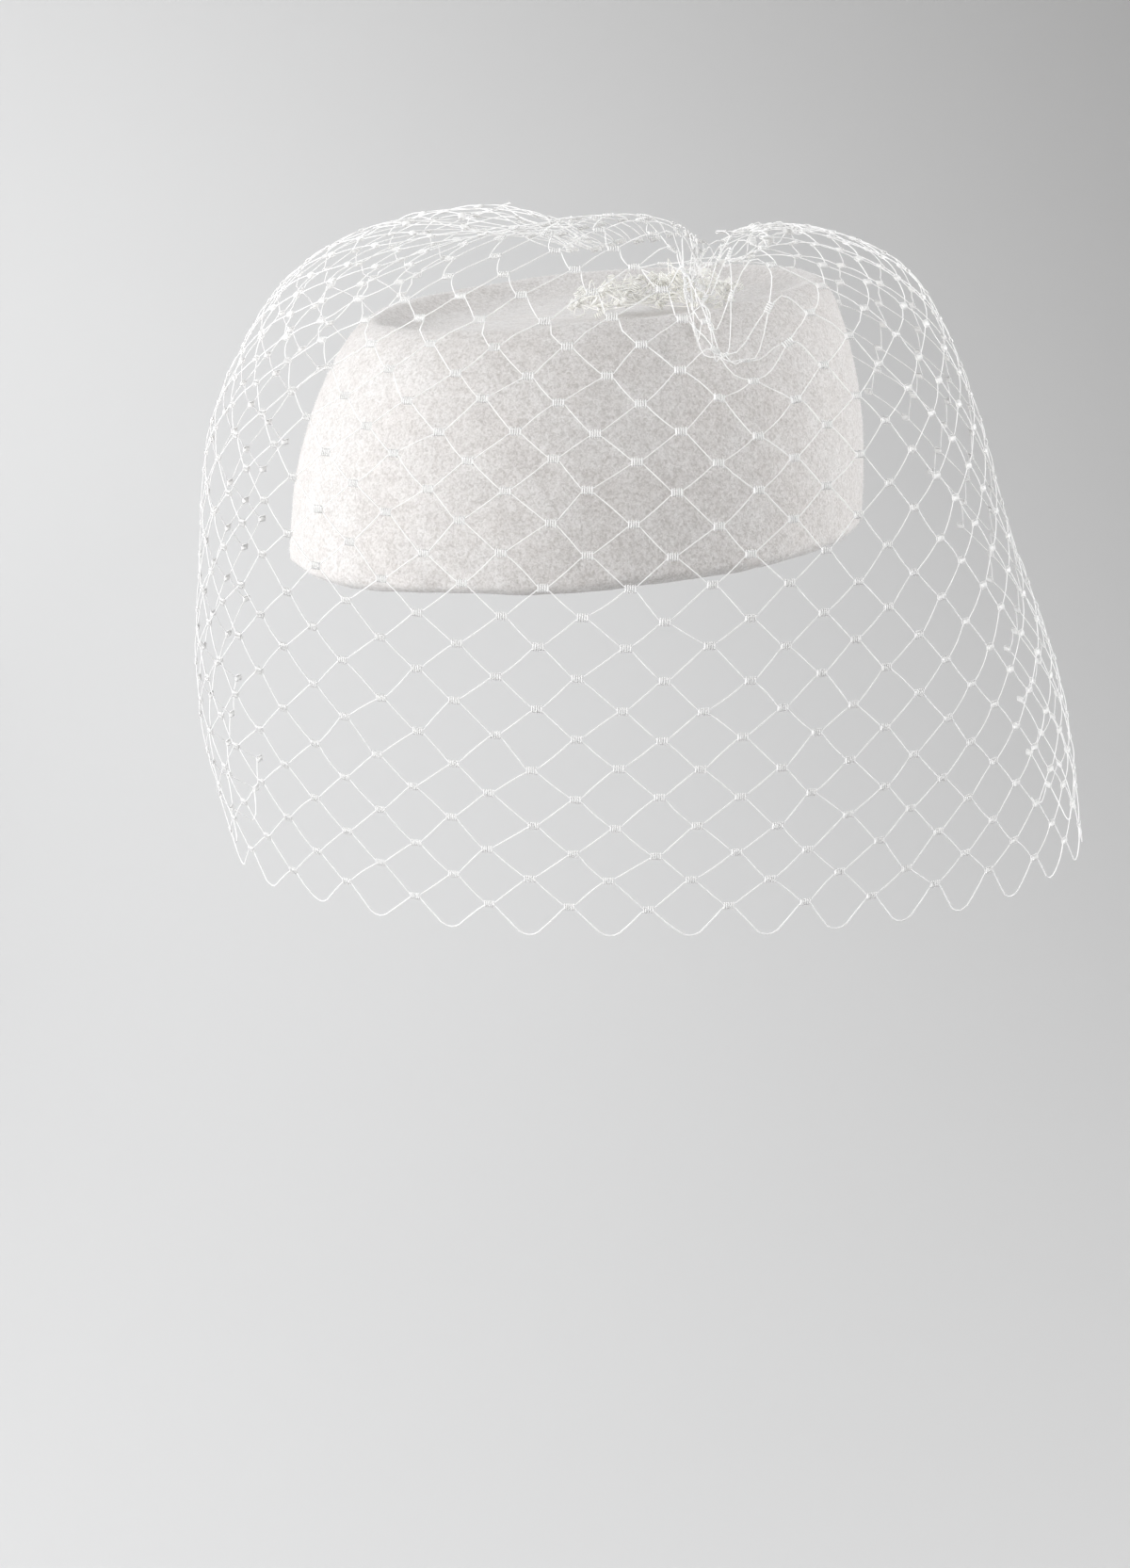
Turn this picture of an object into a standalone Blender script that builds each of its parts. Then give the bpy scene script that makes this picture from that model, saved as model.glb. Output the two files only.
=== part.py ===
"""Pillbox hat of wool felt with a birdcage veil: a blocked crown, the net and the bunch that gathers it.

Metres, +Z up. The origin is the centre of the rim plane, where the hat sits on the head. -Y is the
wearer's front and +X the wearer's left.
"""

import math
from collections import namedtuple

import bmesh
import bpy
import numpy as np

# Crown: a slightly oval shell, set back and a little higher behind towards its top
RIM_HALF_WIDTH = 0.0900
RIM_HALF_DEPTH = 0.0940
CROWN_HEIGHT = 0.0740
FELT_THICKNESS = 0.0025
TOP_SET_BACK = 0.0160
SET_BACK_POWER = 1.2
TOP_SLOPE = 0.050
EDGE_ROLL_RADIUS = 0.0050
EDGE_ROLL_END_DEG = 325.0
EDGE_ROLL_STEPS = 4
CROWN_SEGMENTS = 43

# Net: straps that stand for the threads, round the gaps of the mesh
NET_COLUMNS = 9
NET_ROWS = 7
STRAP_HALF_WIDTH = 0.0018
NET_THICKNESS = 0.0012
STRAP_STEPS = 3
NET_CLEARANCE = 0.0026
VEIL_TURN_DEG = 37.0

# Gather: the bunch on the tip that the net's upper edge is drawn into
GATHER_ACROSS = 0.0290
GATHER_FORWARD = 0.0080
GATHER_HALF_WIDTH = 0.0230
GATHER_HALF_DEPTH = 0.0130
GATHER_HEIGHT = 0.0150
GATHER_PLEATS = 9
GATHER_PLEAT_DEPTH = 0.16
GATHER_SEGMENTS = 45
SEAT_GAP = 0.0005

WallPoint = namedtuple("WallPoint", "inset height")
CROWN_WALL = (
    WallPoint(0.0012, 0.024),
    WallPoint(0.0034, 0.038),
    WallPoint(0.0067, 0.051),
    WallPoint(0.0104, 0.061),
    WallPoint(0.0142, 0.0682),
    WallPoint(0.0170, 0.0716),
    WallPoint(0.0194, 0.0734),
    WallPoint(0.0215, 0.0740),
    WallPoint(0.0240, 0.0735),
    WallPoint(0.0275, 0.0718),
    WallPoint(0.0320, 0.0698),
    WallPoint(0.0390, 0.0685),
    WallPoint(0.0550, 0.0680),
)

# The veil's own directions are across, to the right as one faces it, and forward, towards one.
# Its angles run from forward to across.
Section = namedtuple("Section", "drop height across forward half_width half_depth spread_deg")
VEIL_SECTIONS = (
    Section(0.00, 0.0817, 0.0290, 0.0080, 0.0173, 0.0101, 176),
    Section(0.06, 0.0925, 0.0280, 0.0080, 0.0260, 0.0170, 172),
    Section(0.13, 0.1005, 0.0220, 0.0060, 0.0420, 0.0330, 168),
    Section(0.20, 0.1015, 0.0110, 0.0000, 0.0630, 0.0570, 168),
    Section(0.28, 0.0925, 0.0060, -0.0030, 0.0840, 0.0790, 162),
    Section(0.37, 0.0755, 0.0080, -0.0050, 0.1030, 0.0950, 149),
    Section(0.50, 0.0420, 0.0070, -0.0060, 0.1200, 0.1090, 130),
    Section(0.65, 0.0000, 0.0090, -0.0070, 0.1300, 0.1130, 117),
    Section(0.83, -0.0530, 0.0150, -0.0090, 0.1420, 0.1100, 110),
    Section(1.00, -0.1080, 0.0225, -0.0100, 0.1425, 0.0990, 110),
)
HEM_SLANT = 0.0115

# A dip is a place where the net is pulled down and in between two puffs. The dips fade out at the gather.
DIP_START = 0.07
Dip = namedtuple("Dip", "angle_deg width_deg middle_drop reach down inward")
DIPS = (
    Dip(38.0, 13.0, 0.28, 0.19, 0.0270, 0.0050),
    Dip(-60.0, 22.0, 0.24, 0.16, 0.0230, 0.0080),
    Dip(-32.0, 14.0, 0.20, 0.12, 0.0080, 0.0000),
    Dip(95.0, 48.0, 0.24, 0.16, 0.0095, 0.0000),
    Dip(176.0, 26.0, 0.18, 0.12, 0.0150, 0.0060),
)

# The gather's own outline from its foot up, as shares of its half sizes and of its height
MoundPoint = namedtuple("MoundPoint", "spread rise")
GATHER_MOUND = (
    MoundPoint(0.86, 0.00),
    MoundPoint(1.00, 0.12),
    MoundPoint(0.97, 0.34),
    MoundPoint(0.88, 0.58),
    MoundPoint(0.72, 0.80),
    MoundPoint(0.48, 0.94),
)


def clear_scene():
    for old in list(bpy.data.objects):
        bpy.data.objects.remove(old, do_unlink=True)


def make_material(name, colour, roughness):
    material = bpy.data.materials.new(name)
    material.use_nodes = True
    surface = material.node_tree.nodes["Principled BSDF"]
    surface.inputs["Base Color"].default_value = (*colour, 1.0)
    surface.inputs["Roughness"].default_value = roughness
    surface.inputs["Metallic"].default_value = 0.0
    return material


def add_object(name, shape, material):
    bmesh.ops.recalc_face_normals(shape, faces=shape.faces)
    mesh = bpy.data.meshes.new(name)
    shape.to_mesh(mesh)
    shape.free()
    mesh.shade_smooth()
    mesh.materials.append(material)
    made = bpy.data.objects.new(name, mesh)
    bpy.context.scene.collection.objects.link(made)
    return made


def thicken(made, thickness, offset):
    """Give a surface its thickness; the offset is -1 to keep the surface outside and 0 to keep it midway."""
    shell = made.modifiers.new("Thickness", "SOLIDIFY")
    shell.thickness = thickness
    shell.offset = offset
    shell.use_even_offset = True


def join_rings(shape, rings):
    """Faces between rings of equal length, each ring closed on itself."""
    count = len(rings[0])
    for lower, upper in zip(rings, rings[1:]):
        for step in range(count):
            after = (step + 1) % count
            shape.faces.new((lower[step], lower[after], upper[after], upper[step]))


def close_ring(shape, ring, place):
    """Faces from a ring to one point in its middle."""
    middle = shape.verts.new(place)
    for step, vertex in enumerate(ring):
        shape.faces.new((vertex, ring[(step + 1) % len(ring)], middle))


def crown_profile():
    """The felt's outer face from the turned-under edge up the wall and into the sunk tip."""
    points = []
    for step in range(EDGE_ROLL_STEPS + 1):
        degrees = EDGE_ROLL_END_DEG + (180.0 - EDGE_ROLL_END_DEG) * step / EDGE_ROLL_STEPS
        angle = math.radians(degrees)
        inset = EDGE_ROLL_RADIUS * (1.0 + math.cos(angle))
        height = EDGE_ROLL_RADIUS * (1.0 + math.sin(angle))
        points.append(WallPoint(inset, height))
    return points + list(CROWN_WALL)


def crown_set_back(height):
    return TOP_SET_BACK * max(height / CROWN_HEIGHT, 0.0) ** SET_BACK_POWER


def crown_point(inset, height, angle):
    """A point of the crown's outer face; the angle runs from the wearer's front to the wearer's left."""
    x = (RIM_HALF_WIDTH - inset) * math.sin(angle)
    y = crown_set_back(height) - (RIM_HALF_DEPTH - inset) * math.cos(angle)
    lift = TOP_SLOPE * y * height / CROWN_HEIGHT
    return (x, y, height + lift)


def tip_height(x, y):
    """The height of the sunk tip at a place inside the raised edge."""
    flat = CROWN_WALL[-1].height
    across = x / RIM_HALF_WIDTH
    along = (y - crown_set_back(flat)) / RIM_HALF_DEPTH
    inset = RIM_HALF_WIDTH * (1.0 - math.hypot(across, along))
    level = np.interp(inset, [p.inset for p in CROWN_WALL], [p.height for p in CROWN_WALL])
    return level * (1.0 + TOP_SLOPE * y / CROWN_HEIGHT)


def make_crown(material):
    shape = bmesh.new()
    rings = []
    for point in crown_profile():
        ring = []
        for step in range(CROWN_SEGMENTS):
            angle = 2.0 * math.pi * step / CROWN_SEGMENTS
            ring.append(shape.verts.new(crown_point(point.inset, point.height, angle)))
        rings.append(ring)
    join_rings(shape, rings)
    middle_y = crown_set_back(CROWN_WALL[-1].height)
    close_ring(shape, rings[-1], (0.0, middle_y, tip_height(0.0, middle_y)))
    crown = add_object("felt_crown", shape, material)
    thicken(crown, FELT_THICKNESS, -1.0)


def smooth_between(rows, fraction):
    """The row at a fraction, read from a smooth curve through the table's rows (a cubic Hermite spline)."""
    table = np.array(rows, float)
    last = len(table) - 1
    index = int(np.clip(np.searchsorted(table[:, 0], fraction) - 1, 0, last - 1))
    before, start = table[max(index - 1, 0)], table[index]
    end, after = table[index + 1], table[min(index + 2, last)]
    span = end[0] - start[0]
    part = (fraction - start[0]) / span
    slope_start = (end - before) / (end[0] - before[0])
    slope_end = (after - start) / (after[0] - start[0])
    square, cube = part**2, part**3
    return (
        (2 * cube - 3 * square + 1) * start
        + (cube - 2 * square + part) * span * slope_start
        + (3 * square - 2 * cube) * end
        + (cube - square) * span * slope_end
    )


def turned(across, forward):
    """Row coordinates of a place given in the veil's own directions."""
    turn = math.radians(VEIL_TURN_DEG)
    x = across * math.cos(turn) + forward * math.sin(turn)
    y = across * math.sin(turn) - forward * math.cos(turn)
    return x, y


def off_the_felt(x, y, z):
    """The place itself, or the nearest one that leaves the net its clearance to the crown."""
    tilt = 1.0 + TOP_SLOPE * y / CROWN_HEIGHT
    back = crown_set_back(min(z / tilt, CROWN_HEIGHT))
    reach = math.hypot(x, (y - back) * RIM_HALF_WIDTH / RIM_HALF_DEPTH)
    here = np.array((reach - RIM_HALF_WIDTH, z / tilt))
    outline = [np.array((-point.inset, point.height)) for point in crown_profile()]
    nearest, moved = math.inf, here
    for start, end in zip(outline, outline[1:]):
        along = end - start
        part = float(np.clip((here - start) @ along / (along @ along), 0.0, 1.0))
        foot = start + along * part
        normal = np.array((along[1], -along[0])) / np.linalg.norm(along)
        gap = float(np.linalg.norm(here - foot))
        if gap < nearest:
            nearest = gap
            outside = (here - foot) @ normal > 0.0
            close = gap < NET_CLEARANCE or not outside
            moved = foot + normal * NET_CLEARANCE if close else here
    grow = (RIM_HALF_WIDTH + moved[0]) / reach
    return (x * grow, back + (y - back) * grow, moved[1] * tilt)


def dip_strength(dip, angle, drop):
    """How much of a dip acts at a place: all of it in its middle, fading to none around."""
    apart = (math.degrees(angle) - dip.angle_deg + 180.0) % 360.0 - 180.0
    sideways = math.exp(-((apart / dip.width_deg) ** 2))
    downwards = math.exp(-(((drop - dip.middle_drop) / dip.reach) ** 2))
    return sideways * downwards * min(drop / DIP_START, 1.0)


def veil_point(side, drop):
    """A point of the net: side is -1 to 1 along its length, drop 0 at the gather to 1 at the hem."""
    section = Section(*smooth_between(VEIL_SECTIONS, drop))
    angle = math.radians(side * section.spread_deg)
    half_width, half_depth = section.half_width, section.half_depth
    height = section.height - HEM_SLANT * math.sin(angle) * drop**2
    for dip in DIPS:
        strength = dip_strength(dip, angle, drop)
        height -= dip.down * strength
        half_width -= dip.inward * strength
        half_depth -= dip.inward * strength
    across = section.across + half_width * math.sin(angle)
    forward = section.forward + half_depth * math.cos(angle)
    x, y = turned(across, forward)
    return off_the_felt(x, y, height)


def net_point(column, row):
    """A point of the net, given in half columns and half rows of its gaps."""
    return np.array(veil_point(column / NET_COLUMNS - 1.0, row / (2.0 * NET_ROWS)))


def cell_outline(column, row):
    """The outline of a gap's cell, in half columns and half rows, with each side in equal steps."""
    corners = ((column, row - 1), (column + 1, row), (column, row + 1), (column - 1, row))
    outline = []
    for (start_c, start_r), (end_c, end_r) in zip(corners, corners[1:] + corners[:1]):
        for step in range(STRAP_STEPS):
            part = step / STRAP_STEPS
            outline.append((start_c + (end_c - start_c) * part, start_r + (end_r - start_r) * part))
    return outline


def gap_share(places):
    """The gap's size as a share of its cell, so that half a strap is left all round it."""
    corners = places[::STRAP_STEPS]
    around = sum(np.linalg.norm(corners[index] - corners[index - 1]) for index in range(len(corners)))
    doubled_area = np.linalg.norm(np.cross(corners[2] - corners[0], corners[3] - corners[1]))
    return 1.0 - STRAP_HALF_WIDTH * around / doubled_area


def add_cell(shape, shared, column, row):
    """Half a strap round one gap; the vertices on the cell's outline are shared with its neighbours."""
    outline = cell_outline(column, row)
    places = [net_point(*place) for place in outline]
    share = gap_share(places)
    outer, inner = [], []
    for (place_c, place_r), point in zip(outline, places):
        key = (round(place_c * STRAP_STEPS), round(place_r * STRAP_STEPS))
        if key not in shared:
            shared[key] = shape.verts.new(point)
        outer.append(shared[key])
        inside = net_point(column + (place_c - column) * share, row + (place_r - row) * share)
        inner.append(shape.verts.new(inside))
    join_rings(shape, [outer, inner])


def make_net(material):
    shape = bmesh.new()
    shared = {}
    for column in range(1, 2 * NET_COLUMNS):
        for row in range(1, 2 * NET_ROWS):
            if (column + row) % 2 == 0:
                add_cell(shape, shared, column, row)
    net = add_object("veil_net", shape, material)
    thicken(net, NET_THICKNESS, 0.0)


def gather_point(spread, rise, angle):
    """A point of the bunch; its pleats are deep at its foot and die out towards its top."""
    pleat = 1.0 + GATHER_PLEAT_DEPTH * (1.0 - rise) * math.cos(GATHER_PLEATS * angle)
    across = GATHER_ACROSS + GATHER_HALF_WIDTH * spread * pleat * math.sin(angle)
    forward = GATHER_FORWARD + GATHER_HALF_DEPTH * spread * pleat * math.cos(angle)
    x, y = turned(across, forward)
    return (x, y, tip_height(x, y) + SEAT_GAP + rise * GATHER_HEIGHT)


def make_gather(material):
    """A low ruffled mound that sits just clear of the tip."""
    shape = bmesh.new()
    rings = []
    for point in GATHER_MOUND:
        ring = []
        for step in range(GATHER_SEGMENTS):
            angle = 2.0 * math.pi * step / GATHER_SEGMENTS
            ring.append(shape.verts.new(gather_point(point.spread, point.rise, angle)))
        rings.append(ring)
    join_rings(shape, rings)
    close_ring(shape, rings[0], gather_point(0.0, 0.0, 0.0))
    close_ring(shape, rings[-1], gather_point(0.0, 1.0, 0.0))
    add_object("veil_gather", shape, material)


def main():
    clear_scene()
    felt = make_material("White wool felt", (0.80, 0.77, 0.80), 0.95)
    net = make_material("Ivory net", (0.86, 0.84, 0.76), 0.55)
    bunch = make_material("Gathered ivory net", (0.84, 0.81, 0.70), 0.60)
    make_crown(felt)
    make_net(net)
    make_gather(bunch)


main()
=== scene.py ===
"""Looks of the felt pillbox hat: fuzzy felt crown, knotted diamond net, gathered bunch, plain studio.

Metres, in the frame of the CAD model: +Z up, -Y the wearer's front, +X the wearer's left. The origin is
the centre of the rim plane.
"""

import math
from collections import namedtuple
from functools import lru_cache

import bpy
import numpy as np
from mathutils import Matrix, Vector, noise

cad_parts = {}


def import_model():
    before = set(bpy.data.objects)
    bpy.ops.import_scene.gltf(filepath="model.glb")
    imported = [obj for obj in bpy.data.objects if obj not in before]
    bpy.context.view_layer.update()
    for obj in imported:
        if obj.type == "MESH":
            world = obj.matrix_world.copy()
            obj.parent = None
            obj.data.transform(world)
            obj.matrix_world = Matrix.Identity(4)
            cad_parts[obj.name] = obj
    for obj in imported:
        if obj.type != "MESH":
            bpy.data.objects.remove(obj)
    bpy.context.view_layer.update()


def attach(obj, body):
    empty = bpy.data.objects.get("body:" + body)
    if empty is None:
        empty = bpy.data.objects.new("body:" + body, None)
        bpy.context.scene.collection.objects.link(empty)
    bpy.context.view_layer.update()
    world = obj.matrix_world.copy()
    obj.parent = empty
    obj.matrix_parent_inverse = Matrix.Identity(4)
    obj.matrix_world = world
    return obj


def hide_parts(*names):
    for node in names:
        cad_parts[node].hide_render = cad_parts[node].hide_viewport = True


# Camera, which turns sideways until the origin stands at its place in the picture
IMAGE_LONG_SIDE_PX = 1665
FOCAL_PX = 2300.0
SENSOR_MM = 36.0
CAMERA_AZIMUTH_DEG = 37.0
CAMERA_DISTANCE = 0.691
CAMERA_HEIGHT = 0.1244
CAMERA_PITCH_DEG = 16.69
CAMERA_ROLL_DEG = 3.48
ORIGIN_PX_RIGHT_OF_MIDDLE = 11.0
AIM_ROUNDS = 20

# Crown, with the same sizes as the CAD solid
RIM_HALF_WIDTH = 0.0900
RIM_HALF_DEPTH = 0.0940
CROWN_HEIGHT = 0.0740
FELT_THICKNESS = 0.0025
TOP_SET_BACK = 0.0160
SET_BACK_POWER = 1.2
TOP_SLOPE = 0.050
EDGE_ROLL_RADIUS = 0.0050
EDGE_ROLL_END_DEG = 325.0
EDGE_ROLL_STEPS = 4
CROWN_SEGMENTS = 260
CROWN_RING_STEP = 0.0015

WallPoint = namedtuple("WallPoint", "inset height")
CROWN_WALL = (
    WallPoint(0.0012, 0.024),
    WallPoint(0.0034, 0.038),
    WallPoint(0.0067, 0.051),
    WallPoint(0.0104, 0.061),
    WallPoint(0.0142, 0.0682),
    WallPoint(0.0170, 0.0716),
    WallPoint(0.0194, 0.0734),
    WallPoint(0.0215, 0.0740),
    WallPoint(0.0240, 0.0735),
    WallPoint(0.0275, 0.0718),
    WallPoint(0.0320, 0.0698),
    WallPoint(0.0390, 0.0685),
    WallPoint(0.0550, 0.0680),
)

# Unevenness of the blocked felt: how far it moves the surface, and over what distance
Lump = namedtuple("Lump", "height size")
FELT_LUMPS = (Lump(0.0009, 0.040), Lump(0.00030, 0.011), Lump(0.00012, 0.0032))

# Fibres that stand out of the felt: how far each half rises, leans and strays, as shares of its length
FUZZ_COUNT = 30000
FUZZ_LENGTH_MIN = 0.0005
FUZZ_LENGTH_MAX = 0.0015
FUZZ_HALF_WIDTH = 0.000035
FUZZ_ROOT_SCATTER = 0.0006
FUZZ_RISE_MIN = 0.15
FUZZ_RISE_MAX = 0.8
FUZZ_LEAN = 0.5
FUZZ_TIP_RISE = 0.6
FUZZ_TIP_LEAN = 0.7
FUZZ_TIP_SCATTER = 0.3
FUZZ_SEED = 11

# Fineness of the curves and tables
SMOOTH_PARTS = 12
PATH_SAMPLES = 401
ARC_SAMPLES = 241
ARC_TABLES_KEPT = 4096
LATTICE_STEP = 0.05

# Veil surface, in sections from the gather (drop 0) to the hem (drop 1). They are those of the CAD net
NET_CLEARANCE = 0.0022
VEIL_TURN_DEG = 37.0
Section = namedtuple("Section", "drop height across forward half_width half_depth spread_deg")
VEIL_SECTIONS = (
    Section(0.00, 0.0817, 0.0290, 0.0080, 0.0173, 0.0101, 176),
    Section(0.06, 0.0925, 0.0280, 0.0080, 0.0260, 0.0170, 172),
    Section(0.13, 0.1005, 0.0220, 0.0060, 0.0420, 0.0330, 168),
    Section(0.20, 0.1015, 0.0110, 0.0000, 0.0630, 0.0570, 168),
    Section(0.28, 0.0925, 0.0060, -0.0030, 0.0840, 0.0790, 162),
    Section(0.37, 0.0755, 0.0080, -0.0050, 0.1030, 0.0950, 149),
    Section(0.50, 0.0420, 0.0070, -0.0060, 0.1200, 0.1090, 130),
    Section(0.65, 0.0000, 0.0090, -0.0070, 0.1300, 0.1130, 117),
    Section(0.83, -0.0530, 0.0150, -0.0090, 0.1420, 0.1100, 110),
    Section(1.00, -0.1080, 0.0225, -0.0100, 0.1425, 0.0990, 110),
)
HEM_SLANT = 0.0070

# Dips of the veil, each round a middle that may run sideways with the drop
DIP_START = 0.07
Dip = namedtuple("Dip", "angle_deg width_deg steepness middle_drop reach down inward skew_deg")
DIPS = (
    Dip(26.0, 5.2, 3.0, 0.28, 0.11, 0.0270, 0.0050, 20.0),
    Dip(-52.0, 32.0, 2.0, 0.23, 0.15, 0.0060, 0.0030, 0.0),
    Dip(34.0, 17.0, 2.0, 0.17, 0.07, 0.0100, 0.0000, 0.0),
    Dip(100.0, 50.0, 2.0, 0.17, 0.10, 0.0110, 0.0000, 0.0),
    Dip(160.0, 36.0, 4.0, 0.18, 0.13, 0.0200, 0.0060, 0.0),
)

# Lattice of the net, counted in half columns, and in half rows up from the hem
COLUMN_REACH = 26
KNOT_JITTER = 0.0005
NET_SEED = 5

# Half a column's width, and how the columns close up towards the top and towards the wearer's left
HALF_COLUMN = 0.0120
COLUMN_NARROWING = 0.000025
TOP_NARROWING = 0.00004
TOP_NARROWING_ROW = 14
TOP_NARROWING_COLUMN = 4
SIDE_NARROWING = 0.0011
SIDE_NARROWING_COLUMN = 5
SIDE_NARROWING_ROWS = 32.0

# How the columns lean on their way up, and how they run together in the fold between the front puffs
FIRST_COLUMN_ARC = -0.0434
LEAN = 0.00241
LEAN_FADE = 0.000029
TOP_LEAN = 0.0045
TOP_LEAN_ROW = 20.5
TOP_LEAN_MIDDLE = 5.0
TOP_LEAN_COLUMNS = 3.0

# How the rows follow each other. Above the last even row, each mesh keeps the length of its sides
HEM_START = 0.0030
HALF_ROW = 0.00955
ROW_SHRINK = 0.000034
LAST_EVEN_ROW = 21
SIDE_LENGTH = 0.0145
SIDE_SPREAD_LIMIT = 0.85
GATHER_PATH = 0.004

# How the rows sink towards the wearer's left
SLANT = 0.00052
SLANT_ROWS = 9.0
SLANT_PIVOT = 1.5
SLANT_COLUMNS = 9.0

# Ruffles of the net between its crest and the gather, in two waves. The second's are shares of the first's
RUFFLE_COUNT = 11
RUFFLE_HEIGHT = 0.0038
RUFFLE_MIDDLE_DROP = 0.12
RUFFLE_REACH = 0.08
SECOND_RUFFLE_HEIGHT = 0.5
SECOND_RUFFLE_COUNT = 1.7
SECOND_RUFFLE_SHIFT = 1.3

# Threads and knots
THREAD_RADIUS = 0.00016
HEM_THREAD_RADIUS = 0.00020
THREAD_SIDES = 6
STRAND_STEPS = 4
STRAND_BOW = 0.00012
KNOT_HALF_LENGTH = 0.0018
KNOT_HALF_HEIGHT = 0.00072
KNOT_WRAPS = 5
WRAPPED_SHARE = 0.92
WRAP_RADIUS = 0.00020
WRAP_STEPS = 6
WRAP_SIDES = 4
HEM_TIP_HALF_WIDTH = 0.0030
HEM_TIP_RISE = 0.0012
HEM_TIP_STEPS = 4

# Bunch on the tip
GATHER_ACROSS = 0.0290
GATHER_FORWARD = 0.0080
GATHER_HALF_WIDTH = 0.0240
GATHER_HALF_DEPTH = 0.0125
GATHER_HEIGHT = 0.0135
GATHER_ROWS = 13
GATHER_COLUMNS = 30
GATHER_ZIGZAG_ROWS = 1.6
GATHER_CRUMPLE = 0.0034
GATHER_CRUMPLE_SIZE = 0.006
GATHER_CRUMPLE_SHIFTS = ((3.7, 8.1, 2.9), (12.6, 1.3, 19.4), (25.2, 14.8, 7.7))
GATHER_SCATTER = 0.0015
GATHER_TOP_SPREAD = 0.25
GATHER_KNOT_EVERY = 6
SEAT_GAP = 0.0010

# Layers of noise in the looks, each with its colours up to a low level and from a high level
WHITE = (1.0, 1.0, 1.0)
Layer = namedtuple("Layer", "scale detail distortion low low_colour high high_colour")
FELT_CLOUDS = Layer(60.0, 3.0, 0.0, 0.30, (0.775, 0.752, 0.740), 0.70, (0.80, 0.786, 0.780))
FELT_MOTTLE = Layer(230.0, 4.0, 0.8, 0.36, (0.92, 0.913, 0.908), 0.62, WHITE)
FELT_FLECKS = Layer(1000.0, 3.0, 0.8, 0.34, (0.73, 0.717, 0.705), 0.58, WHITE)
FELT_FIBRES = Layer(2500.0, 3.0, 1.0, 0.36, (0.78, 0.77, 0.76), 0.60, WHITE)
FELT_MOTTLE_SHARE = 1.0
FELT_FLECK_SHARE = 0.80
FELT_FIBRE_SHARE = 0.80
FIBRE_TONE = Layer(300.0, 2.0, 0.0, 0.30, (0.80, 0.78, 0.78), 0.70, (0.92, 0.91, 0.92))
NET_TONE = Layer(45.0, 3.0, 0.0, 0.32, (0.95, 0.945, 0.92), 0.66, (0.98, 0.975, 0.965))
# The bunch's threads are the net's own thread, painted a deeper cream as painted shade of the heap
BUNCH_SHADE_TONE = Layer(45.0, 3.0, 0.0, 0.32, (0.92, 0.90, 0.82), 0.66, (0.96, 0.95, 0.90))
TWIST_SCALE = 4200.0
TWIST_DETAIL = 1.0

# Fine relief that the noise gives the surfaces
Relief = namedtuple("Relief", "strength distance")
FLECK_RELIEF = Relief(0.35, 0.0006)
FIBRE_RELIEF = Relief(0.55, 0.00025)
TWIST_RELIEF = Relief(0.3, 0.00006)

# Finish of each surface, by the names of the shader's sockets
FELT_FINISH = {
    "Roughness": 0.95,
    "Specular IOR Level": 0.15,
    "Sheen Weight": 0.35,
    "Sheen Roughness": 0.55,
}
FIBRE_FINISH = {
    "Roughness": 0.85,
    "Specular IOR Level": 0.2,
}
THREAD_FINISH = {
    "Roughness": 0.48,
    "Specular IOR Level": 0.45,
    "Sheen Weight": 1.0,
    "Sheen Roughness": 0.35,
    "Subsurface Weight": 0.8,
    "Subsurface Scale": 0.0006,
    "Subsurface Radius": (1.0, 1.0, 1.0),
}
BACKDROP_FINISH = {"Roughness": 0.9}

# Stage
FLOOR_HEIGHT = -0.80
FLOOR_RADIUS = 3.4
COVE_RADIUS = 2.7
WALL_HEIGHT = 3.8
COVE_SEGMENTS = 96
COVE_STEPS = 16

# The backdrop's paint, a painted light falloff from pale (painted light) to deep (painted shade) over a
# reach to both sides of the origin and, leaning, upwards
BACKDROP_PAINTED_LIGHT = (0.80, 0.805, 0.81)
BACKDROP_PAINTED_SHADE = (0.40, 0.395, 0.39)
BACKDROP_FALLOFF_REACH = 2.6
BACKDROP_FALLOFF_LEAN = 0.7

# Faint light from all round
AIR_COLOUR = (0.96, 0.97, 1.0)
AIR_STRENGTH = 0.09

# Soft lights, placed and aimed to the picture's right, towards the camera, and up
StudioLight = namedtuple(
    "StudioLight",
    "name across forward height size power aim_across aim_forward aim_height",
)
STUDIO_LIGHTS = (
    StudioLight("window", -1.05, -0.45, 0.35, 1.1, 10.5, 0.0, 0.0, 0.0),
    StudioLight("left_fill", -1.10, 0.70, 0.45, 0.9, 18.0, 0.0, 0.0, 0.0),
    StudioLight("front_fill", 0.35, 1.35, 0.55, 1.2, 5.0, 0.0, 0.0, 0.0),
    StudioLight("right_fill", 1.20, -0.10, 0.40, 1.0, 17.0, 0.0, 0.0, 0.0),
    StudioLight("wall_wash", -0.60, -1.30, 1.20, 1.6, 29.0, -0.3, -3.4, 0.0),
)


def mesh_object(name, points, faces, material):
    mesh = bpy.data.meshes.new(name)
    mesh.from_pydata([tuple(p) for p in points], [], faces)
    mesh.update()
    mesh.shade_smooth()
    mesh.materials.append(material)
    made = bpy.data.objects.new(name, mesh)
    bpy.context.scene.collection.objects.link(made)
    return made


def ring_faces(first, rings, size, closed=False):
    """Faces between neighbouring rings of points, where the first ring starts at the given point."""
    faces = []
    for ring in range(rings if closed else rings - 1):
        low = first + ring * size
        high = first + (ring + 1) % rings * size
        for step in range(size):
            after = (step + 1) % size
            faces.append((low + step, low + after, high + after, high + step))
    return faces


# Materials


def new_material(name, finish):
    """A material with its finish, its node tree, its shader, and the coordinates on its surface."""
    material = bpy.data.materials.new(name)
    material.use_nodes = True
    tree = material.node_tree
    shader = tree.nodes["Principled BSDF"]
    for socket, value in finish.items():
        shader.inputs[socket].default_value = value
    place = tree.nodes.new("ShaderNodeTexCoord").outputs["Object"]
    return material, tree, shader, place


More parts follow.
